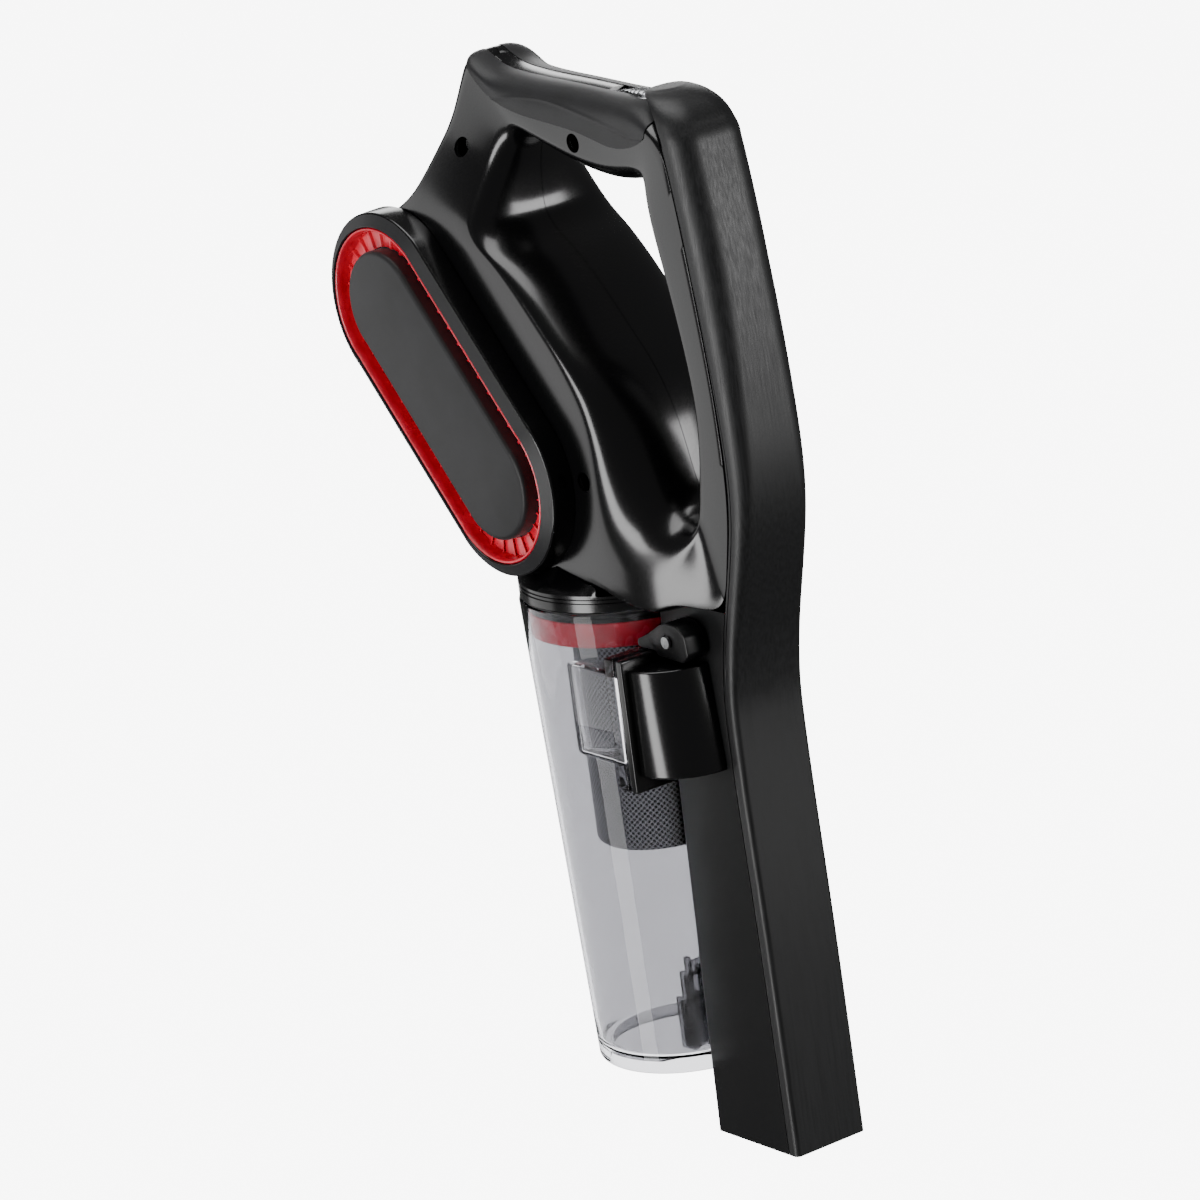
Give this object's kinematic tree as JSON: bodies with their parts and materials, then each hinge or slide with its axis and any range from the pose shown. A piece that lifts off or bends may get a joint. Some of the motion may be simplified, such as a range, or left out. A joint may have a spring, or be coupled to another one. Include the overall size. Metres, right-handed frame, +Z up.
{
  "type": "handheld vacuum cleaner",
  "caption": "Long handheld vacuum: a brushed suction spine, D-shaped grip with slide switch, pill-shaped vented motor pods and a clear cyclone dust cup.",
  "frame": {"origin": "centre of the suction mouth at the lower end of the spine", "axes": "+Z up along the spine from mouth to grip, +Y towards the back of the spine, away from the dust cup, +X towards the side that carries the air port and latch"},
  "size_m": [0.1092, 0.2535, 0.4971],
  "materials": {
    "gloss_black_abs": "piano black, polished",
    "brushed_black_abs": "fine brushed grain along its length",
    "satin_black_abs": "satin",
    "charcoal_soft_touch": "soft-touch satin",
    "red_translucent_pc": "tinted, polished",
    "smoke_clear_pc": "clear with a light smoke tint",
    "steel_mesh": "fine punched mesh",
    "foam_grey": "open foam and pleated paper",
    "black_rubber": "matte",
    "zinc_plate": "plated",
    "bright_chrome": "bright plated plastic",
    "natural_nylon": "as moulded"
  },
  "bodies": {
    "housing": {"suction_elbow": "gloss_black_abs", "shell_left": "gloss_black_abs", "shell_right": "gloss_black_abs", "grip_top_strip": "gloss_black_abs", "pod_rim_left": "gloss_black_abs", "pod_rim_right": "gloss_black_abs", "neck_collar": "gloss_black_abs", "back_cover": "brushed_black_abs", "front_channel": "satin_black_abs", "duct_plug": "satin_black_abs", "grip_pad_left": "charcoal_soft_touch", "grip_pad_right": "charcoal_soft_touch", "pod_panel_left": "charcoal_soft_touch", "pod_panel_right": "charcoal_soft_touch", "vent_ring_left": "red_translucent_pc", "vent_ring_right": "red_translucent_pc", "exhaust_filter_left": "foam_grey", "exhaust_filter_right": "foam_grey", "mouth_seal": "black_rubber", "port_gasket": "black_rubber", "motor_mount_front": "black_rubber", "motor_mount_rear": "black_rubber", "case_screw_front": "zinc_plate", "case_screw_grip": "zinc_plate", "case_screw_neck": "zinc_plate", "motor_case": "zinc_plate", "fan_shroud": "zinc_plate", "stator": "zinc_plate", "latch_pin": "zinc_plate", "switch_bezel": "bright_chrome", "switch_module": "natural_nylon"},
    "switch": {"power_switch": "bright_chrome"},
    "latch": {"cup_latch": "satin_black_abs"},
    "cup": {"dust_cup": "smoke_clear_pc", "cup_red_ring": "red_translucent_pc", "cup_seal": "black_rubber", "hinge_pocket": "smoke_clear_pc"},
    "filter": {"filter_frame": "satin_black_abs", "mesh_sleeve": "steel_mesh", "filter_core": "foam_grey"},
    "rotor": {"rotor_shaft": "zinc_plate", "rotor_core": "zinc_plate", "fan_wheel": "zinc_plate"}
  },
  "joints": [
    {"name": "power_switch_slide", "type": "slide", "parent": "housing", "child": "switch", "axis": [0, -1, 0], "range_m": [0, 0.005]},
    {"name": "cup_latch_hinge", "type": "hinge", "parent": "housing", "child": "latch", "pos_m": [0.027, -0.0018, 0.2434], "axis": [-1, 0, 0], "range_deg": [0, 12], "stiffness_Nm_per_rad": 0.2, "springref_deg": -5.73},
    {"name": "cup_tilt", "type": "hinge", "parent": "housing", "child": "cup", "pos_m": [0, -0.029, 0.026], "axis": [1, 0, 0], "range_deg": [0, 35]},
    {"name": "filter_twist", "type": "hinge", "parent": "cup", "child": "filter", "pos_m": [0, -0.0706, 0], "axis": [0, 0, 1], "range_deg": [0, 30]},
    {"name": "rotor_spin", "type": "hinge", "parent": "housing", "child": "rotor", "pos_m": [0, -0.1264, 0.346], "axis": [0, -0.6665, 0.7455], "continuous": true}
  ]
}
